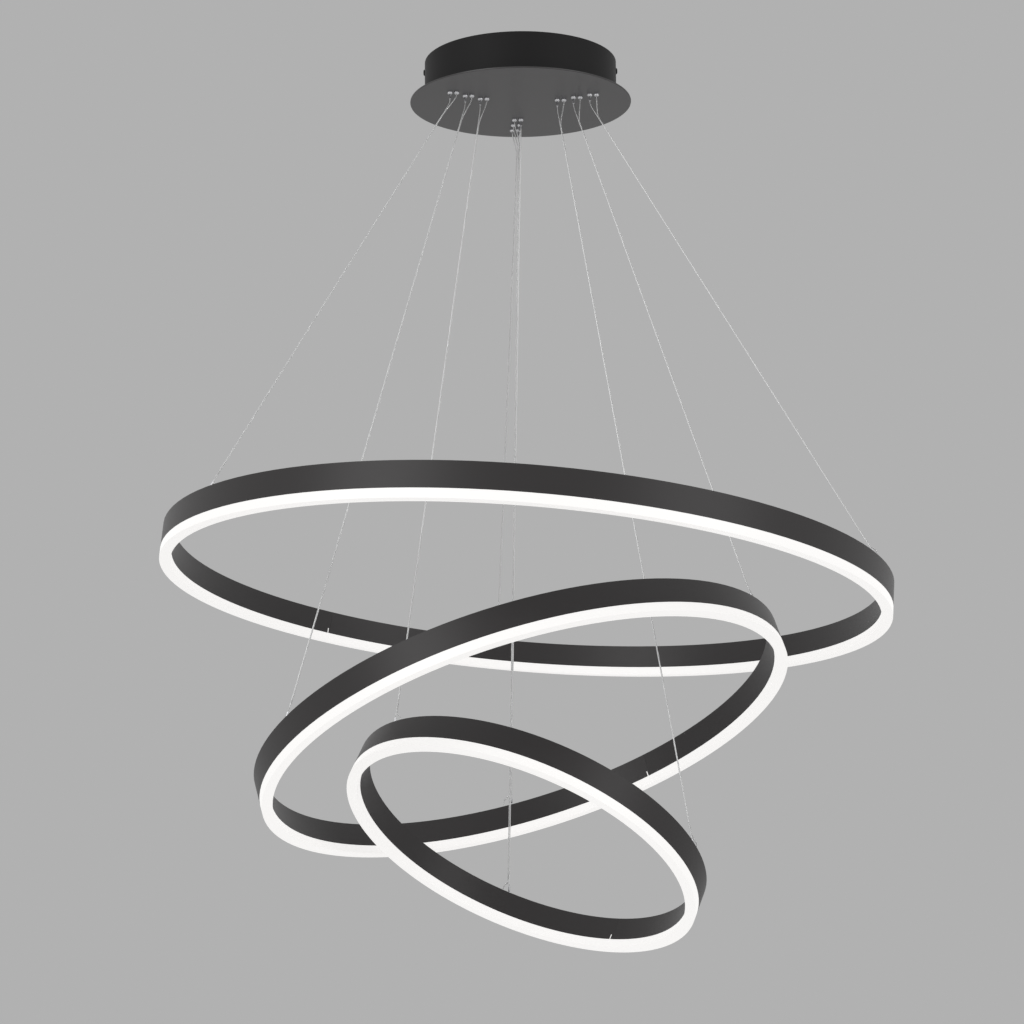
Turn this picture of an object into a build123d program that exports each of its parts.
"""LED ring chandelier: a ceiling canopy from which three tilted light rings hang on wires.

Millimetres.  The origin is the middle of the canopy on the ceiling, +Z points up into the
ceiling, and +Y points away from somebody who looks at the lamp from its front.
Each ring is an aluminium channel rolled to a circle, with an LED strip under its shelf
and an opal cover that snaps in and stands proud below.  Three steel wires carry each ring.
Every wire runs up through a gripper in the canopy plate, beside the gland of a clear lead.
"""
from build123d import *
from math import cos, degrees, radians, sin
from typing import NamedTuple
import os

# ---------------------------------------------------------------- driving dimensions

# the three rings: outside radius, and drop from the ceiling to the middle of the lower rim
large_ring_radius = 400
medium_ring_radius = 297
small_ring_radius = 201.5
large_ring_drop = 601.9
medium_ring_drop = 759.6
small_ring_drop = 877.9
SUSPENSION_AZIMUTHS = {"right": -26, "back": 94, "left": -146}   # degrees, the same on every ring


class Ring(NamedTuple):
    name: str
    radius: float          # outside of the channel
    drop: float            # ceiling to the centre of the channel's lower rim
    aside: float           # that centre from the canopy's axis, along X
    behind: float          # and along Y: a tilted ring hangs in balance a little off the axis
    tilt: float            # degrees from level
    low_azimuth: float     # degrees, where the tilted ring is lowest
    spin: float            # degrees that it hangs turned from the canopy's azimuths
    seam_angle: float      # degrees round the ring, where the rolled channel's two ends meet


RINGS = [
    Ring(name="large", radius=large_ring_radius, drop=large_ring_drop, aside=1.0, behind=1.7,
         tilt=9.8, low_azimuth=59.1, spin=1.0, seam_angle=128.5),
    Ring(name="medium", radius=medium_ring_radius, drop=medium_ring_drop, aside=1.3, behind=-2.0,
         tilt=25.6, low_azimuth=129.6, spin=1.0, seam_angle=60),
    Ring(name="small", radius=small_ring_radius, drop=small_ring_drop, aside=-5.2, behind=-6.0,
         tilt=35.0, low_azimuth=50.8, spin=-1.5, seam_angle=49.5),
]

# the ring's channel, LED strip and opal cover
channel_width = 12
channel_height = 27
channel_wall = 1.5
channel_top = 2
shelf_height = 10            # underside of the shelf above the channel's lower rim
shelf_thickness = 1.4
seam_gap = 0.12              # hairline where the rolled ends meet
groove_height = 5            # middle of the snap groove above the lower rim
groove_depth = 0.7
cover_proud = 9.7            # how far the opal cover stands below the channel
cover_wall = 1.6
cover_leg = 7.5              # how far its legs reach into the channel
cover_bead = 0.5
cover_fit = 0.2              # side clearance of the legs in the channel
strip_width = 7
strip_thickness = 1.2
joiner_length = 46
joiner_fit = 0.15
cover_key_width = 1.0        # lit key of the cover, in a notch of the channel's inner rim
cover_key_height = 6.0
cover_key_fit = 0.12
cover_key_past_seam = 3      # round the ring

# wires and leads
wire_radius = 0.5
lead_radius = 0.6
wire_lead_gap = 0.3          # between the wire and the lead that runs beside it
bend_radius = 12             # where a wire leaves its upright nozzle for its slanting run
bend_below_nozzle = 3.6      # the corner of that bend
lead_bend_radius = 5
canopy_turn_radius = 2.5     # where a lead turns down into its gland
lead_level = 2               # a lead's level above the glands in the canopy
lead_layer = 1.9             # one ring's leads above the next ring's
lead_below_gland = 3
joins_wire = 16              # along the wire, below its bend
leaves_wire = 11             # along the wire, above its ball
tail_above_plate = 17        # end of a wire inside the canopy, above the plate

# a wire's anchor and a lead's entry on the ring
anchor_ball = 1.8            # radius
anchor_ball_rise = 1.26      # its middle above the flange
anchor_flange_radius = 2.8
anchor_flange = 0.8
anchor_shank_radius = 1.5
anchor_hole_fit = 0.1
ferrule_radius = 1.15
ferrule_length = 7.5         # from the middle of the ball, along the wire
wire_end_gap = 0.3
entry_spacing = 8.6          # wire to lead entry, along the ring
entry_flange_radius = 2.1
entry_flange = 1.0
entry_shank_radius = 1.35
entry_bore_fit = 0.15
loop_radius = 2.6            # where the lead bows over from its wire to its entry
loop_height = 9.5
lead_inside_ring = 5

# canopy
drum_radius = 108.5
drum_height = 45.3
drum_wall = 1.2
drum_lug = 15                # turned-in lugs that the plate is bolted to
drum_lug_width = 22
drum_lug_corner = 5
plate_radius = 125
plate_thickness = 1.5
plate_edge_radius = 0.5

# fittings in the canopy plate
outer_outlets_inset = 17.3   # drum's inside to the large ring's fittings
inner_outlets = 50           # the small ring's fittings from the middle of the plate
fitting_pitch = 7.5          # gripper to gland
fitting_radius = 2.95
fitting_height = 4.4
fitting_dome = 2.0           # radius of the rounded lower edge
thread_radius = 2.5
thread_length = 12           # above the plate
thread_fit = 0.1             # radial, in the plate's holes and in the nuts
nut_flats = 6.4
nut_thickness = 2.4
nipple_radius = 1.25
nipple_below = 5.5           # stands out below the gripper at rest
nipple_collar_radius = 1.75
nipple_collar = 1.2
nipple_chamfer = 0.38
nipple_travel = 2.0
nipple_spare = 0.4           # above the collar at the end of its travel
nipple_fit = 0.08
nipple_bore_fit = 0.2        # radial, around the wire
gripper_lip = 1.0            # floor of the chamber, which holds the collar
gland_bore_fit = 0.25

# ceiling bracket and the screws that hold the canopy on it
ear_gap = 2.8                # between the drum's inside and the bracket's ears
bracket_width = 32
bracket_thickness = 2
bracket_ear = 16
bracket_corner = 0.4
slot_spacing = 100           # between the two slotted ceiling holes
slot_length = 24
slot_width = 5.5
cable_hole_radius = 7
lock_screw_radius = 2
lock_screw_head = 3.6        # radius
lock_screw_head_height = 1.0 # outside the drum
lock_screw_crown = 2.5       # radius of the head's flat end
lock_screw_drop = 9          # below the ceiling
lock_screw_reach = 7         # beyond the bracket's ear

# inside the canopy
stud_radius = 1.5
stud_fit = 0.15
stud_nut_flats = 5.5
stud_nut_thickness = 2.4
stud_end = 1.5               # of a stud above its nut
lug_stud_inset = 9           # drum's inside to the studs through its lugs
lug_stud_lead = 24           # degrees, behind each suspension azimuth
driver_length = 78
driver_width = 33
driver_height = 20
driver_distance = 63         # from the middle of the canopy
driver_corner = 3
driver_ear = 7
driver_ear_width = 16.5
driver_ear_thickness = 2
driver_port_height = 13      # of its cables above the plate
driver_collar = 2.5          # length of the collar round a cable
driver_collar_wall = 1
terminal_length = 34
terminal_width = 18
terminal_height = 14
terminal_ways = 3
terminal_screw_row = 4.5     # from the block's middle
terminal_well_radius = 3
terminal_well_depth = 5.6
terminal_barrel_radius = 2.5
terminal_barrel_height = 4.2 # its middle above the plate
splice_length = 16
splice_width = 13
splice_height = 8
splice_corner = 1.2
splice_distance = 33         # from the middle of the canopy
port_gap = 0.4
mains_radius = 2.4
mains_bend = 4.0
mains_straight = 9           # out of a driver before its first bend
mains_rise = 13              # its highest run above the drivers' ports
mains_run_radius = 35        # that run from the middle of the canopy
mains_lead_in = 50           # degrees from a driver's azimuth to where its lead comes down
mains_foot_radius = 5        # the leads' feet on the terminal block
mains_drop = 9.6             # upright run above the block
output_radius = 1.7
output_bend = 3.2
output_straight = 8          # out of a driver, and into a splice block
output_run_radius = 44
output_run_short = 2         # its level run stops this far short of the straight's end

# ---------------------------------------------------------------- sizes worked out from them

plate_bottom = -(drum_height + plate_thickness)
plate_top = -drum_height
fitting_bottom = plate_bottom - fitting_height
nozzle_tip = fitting_bottom - nipple_below
channel_inside = channel_width - 2 * channel_wall
ball_height = anchor_flange + anchor_ball_rise
drum_inside = drum_radius - drum_wall
outer_outlets = drum_inside - outer_outlets_inset
bracket_length = 2 * (drum_inside - ear_gap)
lug_stud_radius = drum_inside - lug_stud_inset
way_pitch = terminal_length / terminal_ways
port_pitch = splice_width / len(RINGS)


def polar(radius, azimuth, z=0.0):
    return Vector(radius * cos(radians(azimuth)), radius * sin(radians(azimuth)), z)


def ring_plane(ring):
    """The plane of the channel's lower rim: its normal leans towards the ring's low side."""
    lean = polar(sin(radians(ring.tilt)), ring.low_azimuth, cos(radians(ring.tilt)))
    centre = (ring.aside, ring.behind, -ring.drop)
    return Plane(origin=centre, x_dir=polar(1, ring.low_azimuth + 90), z_dir=lean)


def round_ring(ring, azimuth):
    """The turn about the ring's own axis that brings its X to this azimuth of the level ring."""
    return Rot(0, 0, azimuth - ring.low_azimuth - 90)


def anchor_place(ring, side):
    """On the channel's top: X outwards, Y round the ring, Z off its top."""
    turn = round_ring(ring, SUSPENSION_AZIMUTHS[side] + ring.spin)
    middle = Pos(ring.radius - channel_width / 2, 0, channel_height)
    return Plane(ring_plane(ring).location * turn * middle)


def outlet_points(ring, side):
    """Where a ring's gripper and its gland sit on the plate: side by side along X."""
    step = (inner_outlets - outer_outlets) / (len(RINGS) - 1)
    middle = polar(outer_outlets + step * RINGS.index(ring), SUSPENSION_AZIMUTHS[side])
    lead_side = 1 if round_the_ring(side).X > 0 else -1
    offset = Vector(lead_side * fitting_pitch / 2, 0, 0)
    return middle - offset, middle + offset


def round_the_ring(side):
    """Level direction in which a lead runs beside its wire."""
    return polar(1, SUSPENSION_AZIMUTHS[side] + 90)


def from_seam(ring, angle):
    """The ring's own plane, turned so that X stands this many degrees past the seam."""
    return ring_plane(ring).location * round_ring(ring, ring.seam_angle) * Rot(0, 0, angle)


def turned(*outline, angle=360.0):
    """A solid of revolution about Z from an outline of (radius, height) points."""
    face = Plane.XZ * make_face(Polyline(*outline, close=True))
    return revolve(face, Axis.Z, angle)


def rod(start, end, radius):
    direction = end - start
    plane = Plane(origin=start, z_dir=direction.normalized())
    return plane * Cylinder(radius, direction.length, align=(Align.CENTER, Align.CENTER, Align.MIN))


def tube(points, radii, radius):
    path = FilletPolyline(*points, radius=radii)
    start = Plane(origin=path @ 0, z_dir=path % 0)
    return sweep(start * Circle(radius), path=path)


def upright(radius, height):
    return Cylinder(radius, height, align=(Align.CENTER, Align.CENTER, Align.MIN))


def hex_nut(flats, bore, thickness):
    nut = extrude(RegularPolygon(flats / 2, 6, major_radius=False), thickness)
    return nut - upright(bore, thickness)


# ---------------------------------------------------------------- rings


def ring_channel(ring):
    """Rolled channel: a closed box above the shelf, two walls with a snap groove below it."""
    out = ring.radius
    inn = out - channel_width
    deep = groove_depth
    outline = Polyline(
        (inn, 0), (inn, channel_height), (out, channel_height), (out, 0),
        (out - channel_wall, 0),
        (out - channel_wall, groove_height - deep),
        (out - channel_wall + deep, groove_height),
        (out - channel_wall, groove_height + deep),
        (out - channel_wall, shelf_height), (inn + channel_wall, shelf_height),
        (inn + channel_wall, groove_height + deep),
        (inn + channel_wall - deep, groove_height),
        (inn + channel_wall, groove_height - deep),
        (inn + channel_wall, 0),
        close=True,
    )
    box_low = shelf_height + shelf_thickness
    box_high = channel_height - channel_top
    middle = Location((out - channel_width / 2, (box_low + box_high) / 2))
    face = make_face(outline) - middle * Rectangle(channel_inside, box_high - box_low)
    gap_angle = degrees(seam_gap / out)
    body = revolve(Plane.XZ * face, Axis.Z, 360 - gap_angle)
    body = from_seam(ring, gap_angle / 2) * body
    for side in SUSPENSION_AZIMUTHS:
        top = anchor_place(ring, side) * Pos(0, 0, -channel_top)
        hole = upright(anchor_shank_radius + anchor_hole_fit, channel_top)
        entry_hole = upright(entry_shank_radius + anchor_hole_fit, channel_top)
        body -= top * hole
        body -= top * Pos(0, entry_spacing, 0) * entry_hole
    notch = Box(channel_wall + cover_key_fit, cover_key_width + 2 * cover_key_fit,
                cover_key_height + cover_key_fit, align=(Align.MIN, Align.CENTER, Align.MIN))
    return body - cover_key_place(ring) * Pos(-cover_key_fit, 0, 0) * notch


def cover_key_place(ring):
    """On the inner wall's rim beside the seam: X outwards through the wall, Z up it."""
    turn = degrees(cover_key_past_seam / ring.radius)
    return from_seam(ring, turn) * Pos(ring.radius - channel_width, 0, 0)


def opal_cover(ring):
    """Opal trough whose sides carry on the channel's walls, and whose legs snap into them.

    Its key sits in the channel's notch and keeps the cover's two ends beside the seam.
    """
    out = ring.radius
    inn = out - channel_width
    leg_out = out - channel_wall - cover_fit
    leg_in = inn + channel_wall + cover_fit
    leg_wall = cover_wall - cover_fit
    bead = cover_bead
    outline = [
        (inn, -cover_proud), (inn, 0), (leg_in, 0),
        (leg_in, groove_height - bead), (leg_in - bead, groove_height),
        (leg_in, groove_height + bead),
        (leg_in, cover_leg), (leg_in + leg_wall, cover_leg),
        (leg_in + leg_wall, -cover_proud + cover_wall),
        (leg_out - leg_wall, -cover_proud + cover_wall),
        (leg_out - leg_wall, cover_leg), (leg_out, cover_leg),
        (leg_out, groove_height + bead), (leg_out + bead, groove_height),
        (leg_out, groove_height - bead),
        (leg_out, 0), (out, 0), (out, -cover_proud),
    ]
    gap_angle = degrees(seam_gap / out)
    body = from_seam(ring, gap_angle / 2) * turned(*outline, angle=360 - gap_angle)
    key = Box(channel_wall + cover_fit + leg_wall / 2, cover_key_width, cover_key_height,
              align=(Align.MIN, Align.CENTER, Align.MIN))
    return body + cover_key_place(ring) * key


def led_strip(ring):
    """Flat strip stuck under the shelf, so that it shines down into the cover."""
    middle = ring.radius - channel_width / 2
    low = shelf_height - strip_thickness
    half = strip_width / 2
    gap_angle = degrees(seam_gap / ring.radius)
    outline = [(middle - half, low), (middle + half, low),
               (middle + half, shelf_height), (middle - half, shelf_height)]
    return from_seam(ring, gap_angle / 2) * turned(*outline, angle=360 - gap_angle)


def seam_joiner(ring):
    """Curved bar inside the box of the channel, across the seam."""
    half = channel_inside / 2 - joiner_fit
    middle = ring.radius - channel_width / 2
    low = shelf_height + shelf_thickness + joiner_fit
    high = channel_height - channel_top - joiner_fit
    outline = [(middle - half, low), (middle + half, low), (middle + half, high),
               (middle - half, high)]
    angle = degrees(joiner_length / middle)
    return from_seam(ring, -angle / 2) * turned(*outline, angle=angle)


def wire_end(ring, side):
    """The wire's lower end, and its direction up towards the canopy."""
    place = anchor_place(ring, side)
    ball = place.origin + place.z_dir * ball_height
    up = (wire_bend(ring, side) - ball).normalized()
    return ball, up


def wire_bend(ring, side):
    """The corner under the gripper's nozzle from which the wire slants to the ring."""
    gripper, _ = outlet_points(ring, side)
    return Vector(gripper.X, gripper.Y, nozzle_tip - bend_below_nozzle)


def wire_anchor(ring, side):
    """A riveted stud with a ball, and the ferrule that is crimped on the wire."""
    place = anchor_place(ring, side)
    flange = upright(anchor_flange_radius, anchor_flange)
    shank = Pos(0, 0, -channel_top) * upright(anchor_shank_radius, channel_top)
    rivet_height = anchor_flange
    rivet = Pos(0, 0, -channel_top - rivet_height) * upright(anchor_flange_radius, rivet_height)
    ball, up = wire_end(ring, side)
    ferrule = rod(ball, ball + up * ferrule_length, ferrule_radius)
    return place * (flange + shank + rivet) + Pos(*ball) * Sphere(anchor_ball) + ferrule


def lead_entry(ring, side):
    """Bush in the channel's top, for the lead."""
    place = anchor_place(ring, side) * Pos(0, entry_spacing, 0)
    flange = upright(entry_flange_radius, entry_flange)
    shank = Pos(0, 0, -channel_top) * upright(entry_shank_radius, channel_top)
    bore = upright(lead_radius + entry_bore_fit, channel_top + entry_flange)
    return place * (flange + shank - Pos(0, 0, -channel_top) * bore)


# ---------------------------------------------------------------- wires and leads


def suspension_wire(ring, side):
    """From its tail inside the canopy, down through the gripper and straight to the ring."""
    gripper, _ = outlet_points(ring, side)
    ball, up = wire_end(ring, side)
    start = Vector(gripper.X, gripper.Y, plate_top + tail_above_plate)
    end = ball + up * (ferrule_length + wire_end_gap)
    return tube([start, wire_bend(ring, side), end], bend_radius, wire_radius)


def lead_route(ring, side):
    """The lead's corners, from its splice in the canopy to its entry in the ring's top."""
    _, gland = outlet_points(ring, side)
    azimuth = SUSPENSION_AZIMUTHS[side]
    ball, up = wire_end(ring, side)
    bend = wire_bend(ring, side)
    place = anchor_place(ring, side)
    beside = round_the_ring(side) * (wire_radius + lead_radius + wire_lead_gap)
    port_number = RINGS.index(ring)
    port = polar(splice_distance + splice_length / 2 + port_gap, azimuth)
    port += polar(port_pitch, azimuth + 90) * (port_number - 1)
    level = plate_top + thread_length + lead_level + lead_layer * (len(RINGS) - port_number)
    over_entry = place.origin + place.y_dir * entry_spacing
    return [
        Vector(port.X, port.Y, level),
        Vector(gland.X, gland.Y, level),
        Vector(gland.X, gland.Y, fitting_bottom - lead_below_gland),
        bend - up * joins_wire + beside,
        ball + up * leaves_wire + beside,
        over_entry + place.z_dir * loop_height,
        over_entry - place.z_dir * (channel_top + lead_inside_ring),
    ]


def clear_lead(ring, side):
    route = lead_route(ring, side)
    radii = [canopy_turn_radius, lead_bend_radius, lead_bend_radius, loop_radius, loop_radius]
    return tube(route, radii, lead_radius)


# ---------------------------------------------------------------- canopy


def all_outlets():
    return [(ring, side) for ring in RINGS for side in SUSPENSION_AZIMUTHS]


def stud_places():
    """Weld studs on the plate: for the drum's lugs and for the drivers' ears."""
    lugs = [polar(lug_stud_radius, azimuth) for azimuth in lug_azimuths()]
    ears = []
    reach = driver_length / 2 + driver_ear / 2
    for azimuth in driver_azimuths():
        for way in (-1, 1):
            ears.append(polar(driver_distance, azimuth) + polar(way * reach, azimuth + 90))
    return lugs, ears


def lug_azimuths():
    return [azimuth - lug_stud_lead for azimuth in SUSPENSION_AZIMUTHS.values()]


def driver_azimuths():
    return [azimuth + 60 for azimuth in SUSPENSION_AZIMUTHS.values()]


def canopy_plate():
    plate = Pos(0, 0, plate_bottom) * upright(plate_radius, plate_thickness)
    rim = plate.faces().sort_by(Axis.Z)[0].edges()
    plate = fillet(rim, plate_edge_radius)
    for ring, side in all_outlets():
        for point in outlet_points(ring, side):
            hole = upright(thread_radius + thread_fit, plate_thickness)
            plate -= Pos(point.X, point.Y, plate_bottom) * hole
    lugs, ears = stud_places()
    for points, clamped in ((lugs, drum_wall), (ears, driver_ear_thickness)):
        for point in points:
            stud = upright(stud_radius, clamped + stud_nut_thickness + stud_end)
            plate += Pos(point.X, point.Y, plate_top) * stud
    return plate


def canopy_drum():
    """Open on top against the ceiling, with three turned-in lugs on the plate."""
    drum = turned((drum_radius, 0), (drum_radius, -drum_height),
                  (drum_inside, -drum_height), (drum_inside, 0))
    for azimuth in lug_azimuths():
        lug = Box(drum_lug + drum_wall / 2, drum_lug_width, drum_wall,
                  align=(Align.MAX, Align.CENTER, Align.MIN))
        lug = fillet(lug.edges().filter_by(Axis.Z).sort_by(Axis.X)[:2], drum_lug_corner)
        drum += Rot(0, 0, azimuth) * Pos(drum_inside + drum_wall / 2, 0, plate_top) * lug
    for point in stud_places()[0]:
        hole = upright(stud_radius + stud_fit, drum_wall)
        drum -= Pos(point.X, point.Y, plate_top) * hole
    for way in (-1, 1):
        drum -= lock_screw_place(way) * upright(lock_screw_radius + stud_fit, 2 * drum_wall)
    return drum


def lock_screw_place(way):
    """Just outside the drum's wall, Z pointing in towards the middle."""
    turn = Rot(0, -90 * way, 0)
    return Pos(way * (drum_radius + drum_wall / 2), 0, -lock_screw_drop) * turn


def canopy_lock_screw(way):
    reach = drum_wall / 2 + drum_wall + ear_gap + bracket_thickness + lock_screw_reach
    shank = upright(lock_screw_radius, reach)
    head = turned((0, drum_wall / 2), (lock_screw_head, drum_wall / 2),
                  (lock_screw_head, 0), (lock_screw_crown, -lock_screw_head_height),
                  (0, -lock_screw_head_height))
    return lock_screw_place(way) * (shank + head)


def ceiling_bracket():
    bar = Box(bracket_length, bracket_width, bracket_thickness,
              align=(Align.CENTER, Align.CENTER, Align.MAX))
    for way in (-1, 1):
        ear = Box(bracket_thickness, bracket_width, bracket_ear,
                  align=(Align.MAX if way > 0 else Align.MIN, Align.CENTER, Align.MAX))
        bar += Pos(way * bracket_length / 2, 0, 0) * ear
    corners = bar.edges().filter_by(Axis.Z)
    bar = fillet(corners.sort_by(Axis.X)[:2] + corners.sort_by(Axis.X)[-2:], bracket_corner)
    for way in (-1, 1):
        slot = SlotOverall(slot_length, slot_width)
        bar -= Pos(way * slot_spacing / 2, 0, -bracket_thickness) * extrude(slot, bracket_thickness)
        hole = upright(lock_screw_radius + stud_fit, 3 * bracket_thickness + ear_gap)
        bar -= lock_screw_place(way) * Pos(0, 0, drum_wall) * hole
    return bar - Pos(0, 0, -bracket_thickness) * upright(cable_hole_radius, bracket_thickness)


def led_driver(azimuth):
    """Moulded case with an eared foot at each end and cable collars above the feet."""
    case = Box(driver_width, driver_length, driver_height,
               align=(Align.CENTER, Align.CENTER, Align.MIN))
    case = fillet(case.edges().filter_by(Axis.Z), driver_corner)
    case = fillet(case.faces().sort_by(Axis.Z)[-1].edges(), driver_corner / 2)
    for way in (-1, 1):
        ear = Box(driver_ear_width, driver_ear + driver_corner, driver_ear_thickness,
                  align=(Align.CENTER, Align.MIN if way > 0 else Align.MAX, Align.MIN))
        case += Pos(0, way * (driver_length / 2 - driver_corner), 0) * ear
        collar = Rot(-90 * way, 0, 0) * upright(mains_radius + driver_collar_wall, driver_collar)
        case += Pos(0, way * driver_length / 2, driver_port_height) * collar
        hole = upright(stud_radius + stud_fit, driver_ear_thickness)
        case -= Pos(0, way * (driver_length + driver_ear) / 2, 0) * hole
    place = polar(driver_distance, azimuth, plate_top)
    return Pos(*place) * Rot(0, 0, azimuth) * case


def terminal_block():
    """Screw terminals for the mains cable: one barrel and one screw well for each way."""
    block = Box(terminal_length, terminal_width, terminal_height,
                align=(Align.CENTER, Align.CENTER, Align.MIN))
    for number in range(terminal_ways):
        x = (number - (terminal_ways - 1) / 2) * way_pitch
        for end in (-1, 1):
            well = Pos(x, end * terminal_screw_row, terminal_height - terminal_well_depth)
            block -= well * upright(terminal_well_radius, terminal_well_depth)
        barrel = Rot(90, 0, 0) * Cylinder(terminal_barrel_radius, terminal_width)
        block -= Pos(x, 0, terminal_barrel_height) * barrel
    return Pos(0, 0, plate_top) * block


def splice_block(side):
    """Lever connector, where a driver's output meets the three leads of one side."""
    azimuth = SUSPENSION_AZIMUTHS[side]
    block = Box(splice_length, splice_width, splice_height,
                align=(Align.CENTER, Align.CENTER, Align.MIN))
    block = fillet(block.edges().filter_by(Axis.Y), splice_corner)
    place = polar(splice_distance, azimuth, plate_top + thread_length)
    return Pos(*place) * Rot(0, 0, azimuth) * block


def wire_gripper(point):
    """Threaded barrel with a domed cap below the plate and a chamber for the nipple's collar."""
    chamber = nipple_collar_radius + nipple_fit
    chamber_top = gripper_lip + nipple_collar + nipple_travel + nipple_spare
    below = -fitting_height
    body = fitting_cap() + upright(thread_radius, thread_length + plate_thickness)
    body -= Pos(0, 0, below) * upright(nipple_radius + nipple_fit, gripper_lip)
    body -= Pos(0, 0, below + gripper_lip) * upright(chamber, chamber_top - gripper_lip)
    body -= Pos(0, 0, below) * upright(wire_radius + nipple_bore_fit,
                                       thread_length + plate_thickness + fitting_height)
    return Pos(point.X, point.Y, plate_bottom) * body


def fitting_cap():
    """The domed cap of a gripper or a gland, under the plate."""
    low = -fitting_height
    dome = fitting_dome
    edge = fitting_radius
    curve = Line((0, low), (edge - dome, low))
    curve += RadiusArc((edge - dome, low), (edge, low + dome), -dome)
    curve += Polyline((edge, low + dome), (edge, 0), (0, 0), (0, low))
    return revolve(Plane.XZ * make_face(curve), Axis.Z)


def lead_gland(point):
    body = fitting_cap() + upright(thread_radius, thread_length + plate_thickness)
    bore = upright(lead_radius + gland_bore_fit, thread_length + plate_thickness + fitting_height)
    body -= Pos(0, 0, -fitting_height) * bore
    return Pos(point.X, point.Y, plate_bottom) * body


def plate_nut(point):
    nut = Rot(0, 0, 30) * hex_nut(nut_flats, thread_radius + thread_fit, nut_thickness)
    return Pos(point.X, point.Y, plate_top) * nut


def release_nipple(point):
    """Pushed up, it opens the jaws, and the wire can be drawn through."""
    collar_low = fitting_bottom + gripper_lip
    stem = upright(nipple_radius, nipple_below + gripper_lip + nipple_collar)
    tip = stem.faces().sort_by(Axis.Z)[0].edges()
    stem = chamfer(tip, nipple_chamfer)
    body = Pos(0, 0, nozzle_tip) * stem
    body += Pos(0, 0, collar_low) * upright(nipple_collar_radius, nipple_collar)
    body -= Pos(0, 0, nozzle_tip) * upright(wire_radius + nipple_bore_fit, -nozzle_tip)
    return Pos(point.X, point.Y, 0) * body


def driver_port(azimuth, end_azimuth):
    """Middle of the collar's mouth at one end of a driver, and the direction out of it."""
    out = polar(1, end_azimuth)
    reach = driver_length / 2 + driver_collar
    return polar(driver_distance, azimuth, plate_top + driver_port_height) + out * reach, out


def mains_lead(azimuth):
    """From the terminal block to the end of a driver that is nearest to it."""
    port, out = driver_port(azimuth, azimuth - 90)
    comes_down = azimuth - mains_lead_in
    foot = polar(mains_foot_radius, comes_down, plate_top + terminal_height)
    points = [
        port,
        port + out * mains_straight,
        polar(mains_run_radius, comes_down, port.Z + mains_rise),
        foot + Vector(0, 0, mains_drop),
        foot,
    ]
    return tube(points, mains_bend, mains_radius)


def output_lead(azimuth, side):
    """From a driver's other end to the splice block of the side beside it."""
    port, out = driver_port(azimuth, azimuth + 90)
    block = SUSPENSION_AZIMUTHS[side]
    level = plate_top + thread_length + splice_height / 2
    mouth = polar(splice_distance, block, level) - polar(splice_width / 2, block + 90)
    run_end = driver_length / 2 + driver_collar + output_straight - output_run_short
    points = [
        port,
        port + out * output_straight,
        polar(output_run_radius, azimuth, level) + out * run_end,
        mouth + polar(output_straight, block - 90),
        mouth,
    ]
    return tube(points, output_bend, output_radius)


# ---------------------------------------------------------------- nodes


def nodes():
    made = {
        "ceiling_bracket": ceiling_bracket(),
        "canopy_drum": canopy_drum(),
        "canopy_plate": canopy_plate(),
        "canopy_lock_screws": [canopy_lock_screw(way) for way in (-1, 1)],
        "terminal_block": terminal_block(),
    }
    lugs, ears = stud_places()
    nut = hex_nut(stud_nut_flats, stud_radius + thread_fit, stud_nut_thickness)
    made["stud_nuts"] = [Pos(p.X, p.Y, plate_top + drum_wall) * nut for p in lugs]
    made["stud_nuts"] += [Pos(p.X, p.Y, plate_top + driver_ear_thickness) * nut for p in ears]
    for number, azimuth in enumerate(driver_azimuths(), 1):
        made[f"led_driver_{number}"] = led_driver(azimuth)
    made["splice_blocks"] = [splice_block(side) for side in SUSPENSION_AZIMUTHS]
    made["mains_leads"] = [mains_lead(azimuth) for azimuth in driver_azimuths()]
    sides = list(SUSPENSION_AZIMUTHS)
    following = sides[1:] + sides[:1]
    made["output_leads"] = [output_lead(a, s) for a, s in zip(driver_azimuths(), following)]
    places = [outlet_points(ring, side) for ring, side in all_outlets()]
    made["wire_grippers"] = [wire_gripper(gripper) for gripper, _ in places]
    made["gripper_nuts"] = [plate_nut(gripper) for gripper, _ in places]
    made["lead_glands"] = [lead_gland(gland) for _, gland in places]
    made["gland_nuts"] = [plate_nut(gland) for _, gland in places]
    for ring, side in all_outlets():
        gripper, _ = outlet_points(ring, side)
        made[f"release_nipple_{ring.name}_{side}"] = release_nipple(gripper)
        made[f"wire_{ring.name}_{side}"] = suspension_wire(ring, side)
    for ring in RINGS:
        sides = SUSPENSION_AZIMUTHS
        made[f"channel_{ring.name}"] = ring_channel(ring)
        made[f"opal_cover_{ring.name}"] = opal_cover(ring)
        made[f"led_strip_{ring.name}"] = led_strip(ring)
        made[f"seam_joiner_{ring.name}"] = seam_joiner(ring)
        made[f"wire_anchors_{ring.name}"] = [wire_anchor(ring, side) for side in sides]
        made[f"lead_entries_{ring.name}"] = [lead_entry(ring, side) for side in sides]
        made[f"clear_leads_{ring.name}"] = [clear_lead(ring, side) for side in sides]
    return made


def solids_of(shape):
    shapes = shape if isinstance(shape, list) else [shape]
    return [solid for item in shapes for solid in item.solids()]


def main():
    os.makedirs("parts", exist_ok=True)
    for name, shape in nodes().items():
        solids = solids_of(shape)
        export_step(solids[0] if len(solids) == 1 else Compound(solids), f"parts/{name}.step")
        print(name, len(solids))


if __name__ == "__main__":
    main()
